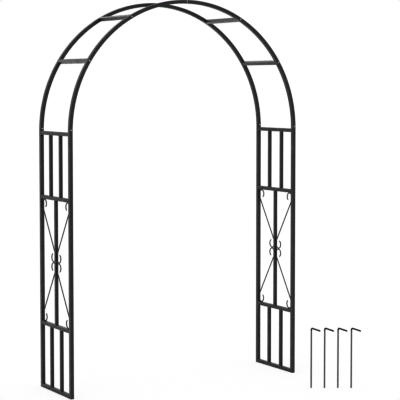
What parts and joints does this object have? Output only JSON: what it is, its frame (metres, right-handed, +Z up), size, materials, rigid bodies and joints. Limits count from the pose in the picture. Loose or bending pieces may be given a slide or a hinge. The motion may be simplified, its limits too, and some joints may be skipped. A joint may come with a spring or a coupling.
{
  "type": "garden arch",
  "caption": "Walk-through garden arch of black square tube: scroll trellis side panels, semicircular hoops joined by crossbars, and loose L-shaped ground stakes.",
  "frame": {"origin": "on the ground, at the middle of the passage under the arch", "axes": "+X across the passage from the left panel to the right one, -Y to the front, +Z up"},
  "size_m": [1.455, 0.9751, 2.115],
  "materials": {
    "tube_coat": "black powder coat, satin, fine orange peel",
    "bar_coat": "black powder coat, satin, fine orange peel",
    "wire_coat": "black powder coat on bent round wire",
    "crossbar_coat": "black powder coat, satin",
    "stake_coat": "black powder coat on round rod",
    "plain_steel": "bare mill-finish steel, hidden inside the tubes",
    "zinc_screw": "bright zinc plate"
  },
  "bodies": {
    "arch": {"left_front_post": "tube_coat", "left_rear_post": "tube_coat", "left_bottom_rail": "tube_coat", "left_lower_mid_rail": "tube_coat", "left_upper_mid_rail": "tube_coat", "left_top_rail": "tube_coat", "left_front_bottom_bar": "bar_coat", "left_rear_bottom_bar": "bar_coat", "left_centre_bar": "bar_coat", "left_front_top_bar": "bar_coat", "left_rear_top_bar": "bar_coat", "left_front_lower_scroll": "wire_coat", "left_front_upper_scroll": "wire_coat", "left_rear_lower_scroll": "wire_coat", "left_rear_upper_scroll": "wire_coat", "right_front_post": "tube_coat", "right_rear_post": "tube_coat", "right_bottom_rail": "tube_coat", "right_lower_mid_rail": "tube_coat", "right_upper_mid_rail": "tube_coat", "right_top_rail": "tube_coat", "right_front_bottom_bar": "bar_coat", "right_rear_bottom_bar": "bar_coat", "right_centre_bar": "bar_coat", "right_front_top_bar": "bar_coat", "right_rear_top_bar": "bar_coat", "right_front_lower_scroll": "wire_coat", "right_front_upper_scroll": "wire_coat", "right_rear_lower_scroll": "wire_coat", "right_rear_upper_scroll": "wire_coat", "front_hoop_left": "tube_coat", "front_left_spigot": "plain_steel", "front_hoop_right": "tube_coat", "front_right_spigot": "plain_steel", "front_crown_sleeve": "plain_steel", "rear_hoop_left": "tube_coat", "rear_left_spigot": "plain_steel", "rear_hoop_right": "tube_coat", "rear_right_spigot": "plain_steel", "rear_crown_sleeve": "plain_steel", "left_lower_crossbar": "crossbar_coat", "left_upper_crossbar": "crossbar_coat", "right_lower_crossbar": "crossbar_coat", "right_upper_crossbar": "crossbar_coat", "front_left_post_screw": "zinc_screw", "front_left_lower_crossbar_screw": "zinc_screw", "front_left_upper_crossbar_screw": "zinc_screw", "front_right_post_screw": "zinc_screw", "front_right_lower_crossbar_screw": "zinc_screw", "front_right_upper_crossbar_screw": "zinc_screw", "rear_left_post_screw": "zinc_screw", "rear_left_lower_crossbar_screw": "zinc_screw", "rear_left_upper_crossbar_screw": "zinc_screw", "rear_right_post_screw": "zinc_screw", "rear_right_lower_crossbar_screw": "zinc_screw", "rear_right_upper_crossbar_screw": "zinc_screw"},
    "stake_1": {"ground_stake_1": "stake_coat"},
    "stake_2": {"ground_stake_2": "stake_coat"},
    "stake_3": {"ground_stake_3": "stake_coat"},
    "stake_4": {"ground_stake_4": "stake_coat"}
  },
  "joints": [
    {"name": "stake_1_lift", "type": "slide", "parent": "arch", "child": "stake_1", "axis": [0, 0, 1], "range_m": [0, 0.35]},
    {"name": "stake_2_lift", "type": "slide", "parent": "arch", "child": "stake_2", "axis": [0, 0, 1], "range_m": [0, 0.35]},
    {"name": "stake_3_lift", "type": "slide", "parent": "arch", "child": "stake_3", "axis": [0, 0, 1], "range_m": [0, 0.35]},
    {"name": "stake_4_lift", "type": "slide", "parent": "arch", "child": "stake_4", "axis": [0, 0, 1], "range_m": [0, 0.35]}
  ]
}
